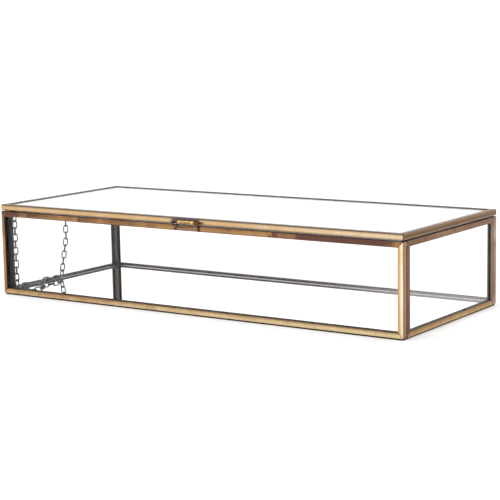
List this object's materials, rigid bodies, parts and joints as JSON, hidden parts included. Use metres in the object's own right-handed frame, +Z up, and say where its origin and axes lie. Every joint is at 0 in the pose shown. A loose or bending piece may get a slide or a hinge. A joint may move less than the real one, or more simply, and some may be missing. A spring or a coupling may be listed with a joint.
{
  "type": "jewelry box",
  "caption": "Long low glass jewelry box in antique brass channels, with a mirrored base, a hinged glass lid, a wire pull and a chain that stops the lid.",
  "frame": {"origin": "under the middle of the box, on the surface that it stands on", "axes": "+X to the right along the front, +Y from front to back, +Z up"},
  "size_m": [0.3, 0.1294, 0.06],
  "materials": {
    "wall_channel": "antique brushed",
    "lid_channel": "antique brushed",
    "glass": "clear polished",
    "mirror": "silvered glass",
    "board": "black board",
    "solder": "dull solder",
    "hinge_brass": "antique",
    "pull_brass": "antique satin",
    "chain_steel": "dark nickel"
  },
  "bodies": {
    "body": {"back_bottom_strip": "wall_channel", "back_glass": "glass", "back_left_solder_seam": "solder", "back_left_strip": "wall_channel", "back_right_solder_seam": "solder", "back_right_strip": "wall_channel", "back_top_strip": "wall_channel", "base_board": "board", "base_mirror": "mirror", "body_chain_eye": "chain_steel", "front_bottom_strip": "wall_channel", "front_glass": "glass", "front_left_solder_seam": "solder", "front_left_strip": "wall_channel", "front_right_solder_seam": "solder", "front_right_strip": "wall_channel", "front_top_strip": "wall_channel", "left_bottom_strip": "wall_channel", "left_glass": "glass", "left_hinge_body_leaf": "hinge_brass", "left_hinge_pin": "hinge_brass", "left_left_strip": "wall_channel", "left_right_strip": "wall_channel", "left_top_strip": "wall_channel", "right_bottom_strip": "wall_channel", "right_glass": "glass", "right_hinge_body_leaf": "hinge_brass", "right_hinge_pin": "hinge_brass", "right_left_strip": "wall_channel", "right_right_strip": "wall_channel", "right_top_strip": "wall_channel"},
    "lid": {"left_hinge_lid_leaf": "hinge_brass", "lid_bottom_strip": "lid_channel", "lid_chain_eye": "chain_steel", "lid_glass": "glass", "lid_left_strip": "lid_channel", "lid_right_strip": "lid_channel", "lid_top_strip": "lid_channel", "pull_barrel": "pull_brass", "right_hinge_lid_leaf": "hinge_brass"},
    "pull": {"pull_bail": "pull_brass"},
    "chain_front": {"chain_front_strand": "chain_steel"},
    "chain_floor_1": {"chain_floor_run_1": "chain_steel"},
    "chain_floor_2": {"chain_floor_run_2": "chain_steel"},
    "chain_floor_3": {"chain_floor_run_3": "chain_steel"},
    "chain_floor_4": {"chain_floor_run_4": "chain_steel"},
    "chain_floor_5": {"chain_floor_run_5": "chain_steel"},
    "chain_rear_top": {"chain_rear_upper": "chain_steel"},
    "chain_rear_bottom": {"chain_rear_lower": "chain_steel"}
  },
  "joints": [
    {"name": "lid_hinge", "type": "hinge", "parent": "body", "child": "lid", "pos_m": [0, 0.0615, 0.05595], "axis": [-1, 0, 0], "range_deg": [0, 102.22]},
    {"name": "pull_swing", "type": "hinge", "parent": "lid", "child": "pull", "pos_m": [0, -0.061, 0.0574], "axis": [-1, 0, 0], "range_deg": [-66, 110]},
    {"name": "chain_front_swing", "type": "hinge", "parent": "lid", "child": "chain_front", "pos_m": [-0.1441, -0.053, 0.0522], "axis": [-1, 0, 0], "range_deg": [-67.02, 0]},
    {"name": "chain_foot_fold", "type": "hinge", "parent": "chain_front", "child": "chain_floor_1", "pos_m": [-0.1441, -0.053, 0.00475], "axis": [-1, 0, 0], "range_deg": [0, 90.5]},
    {"name": "chain_turn_1", "type": "hinge", "parent": "chain_floor_1", "child": "chain_floor_2", "pos_m": [-0.1441, -0.0486, 0.00475], "axis": [0, 0, 1], "range_deg": [0, 29.5]},
    {"name": "chain_turn_2", "type": "hinge", "parent": "chain_floor_2", "child": "chain_floor_3", "pos_m": [-0.13724, -0.03622, 0.00475], "axis": [0, 0, 1], "range_deg": [-68.16, 0]},
    {"name": "chain_turn_3", "type": "hinge", "parent": "chain_floor_3", "child": "chain_floor_4", "pos_m": [-0.14489, -0.02666, 0.00475], "axis": [0, 0, 1], "range_deg": [0, 48.5]},
    {"name": "chain_turn_4", "type": "hinge", "parent": "chain_floor_4", "child": "chain_floor_5", "pos_m": [-0.1426, -0.0127, 0.00475], "axis": [0, 0, 1], "range_deg": [-29.84, 0]},
    {"name": "chain_rear_swing", "type": "hinge", "parent": "body", "child": "chain_rear_top", "pos_m": [-0.1441, -0.0021, 0.05151], "axis": [-1, 0, 0], "range_deg": [-146.1, 0]},
    {"name": "chain_rear_straighten", "type": "hinge", "parent": "chain_rear_top", "child": "chain_rear_bottom", "pos_m": [-0.1441, -0.00258, 0.03046], "axis": [-1, 0, 0], "range_deg": [-12.3, 0]}
  ],
  "couplings": [
    {"joint": "chain_front_swing", "follows": "lid_hinge", "ratio": -0.65075},
    {"joint": "chain_foot_fold", "follows": "lid_hinge", "ratio": 0.88041},
    {"joint": "chain_turn_1", "follows": "lid_hinge", "ratio": 0.28369},
    {"joint": "chain_turn_2", "follows": "lid_hinge", "ratio": -0.66185},
    {"joint": "chain_turn_3", "follows": "lid_hinge", "ratio": 0.46954},
    {"joint": "chain_turn_4", "follows": "lid_hinge", "ratio": -0.28703},
    {"joint": "chain_rear_swing", "follows": "lid_hinge", "ratio": -1.4243},
    {"joint": "chain_rear_straighten", "follows": "lid_hinge", "ratio": -0.11543}
  ]
}
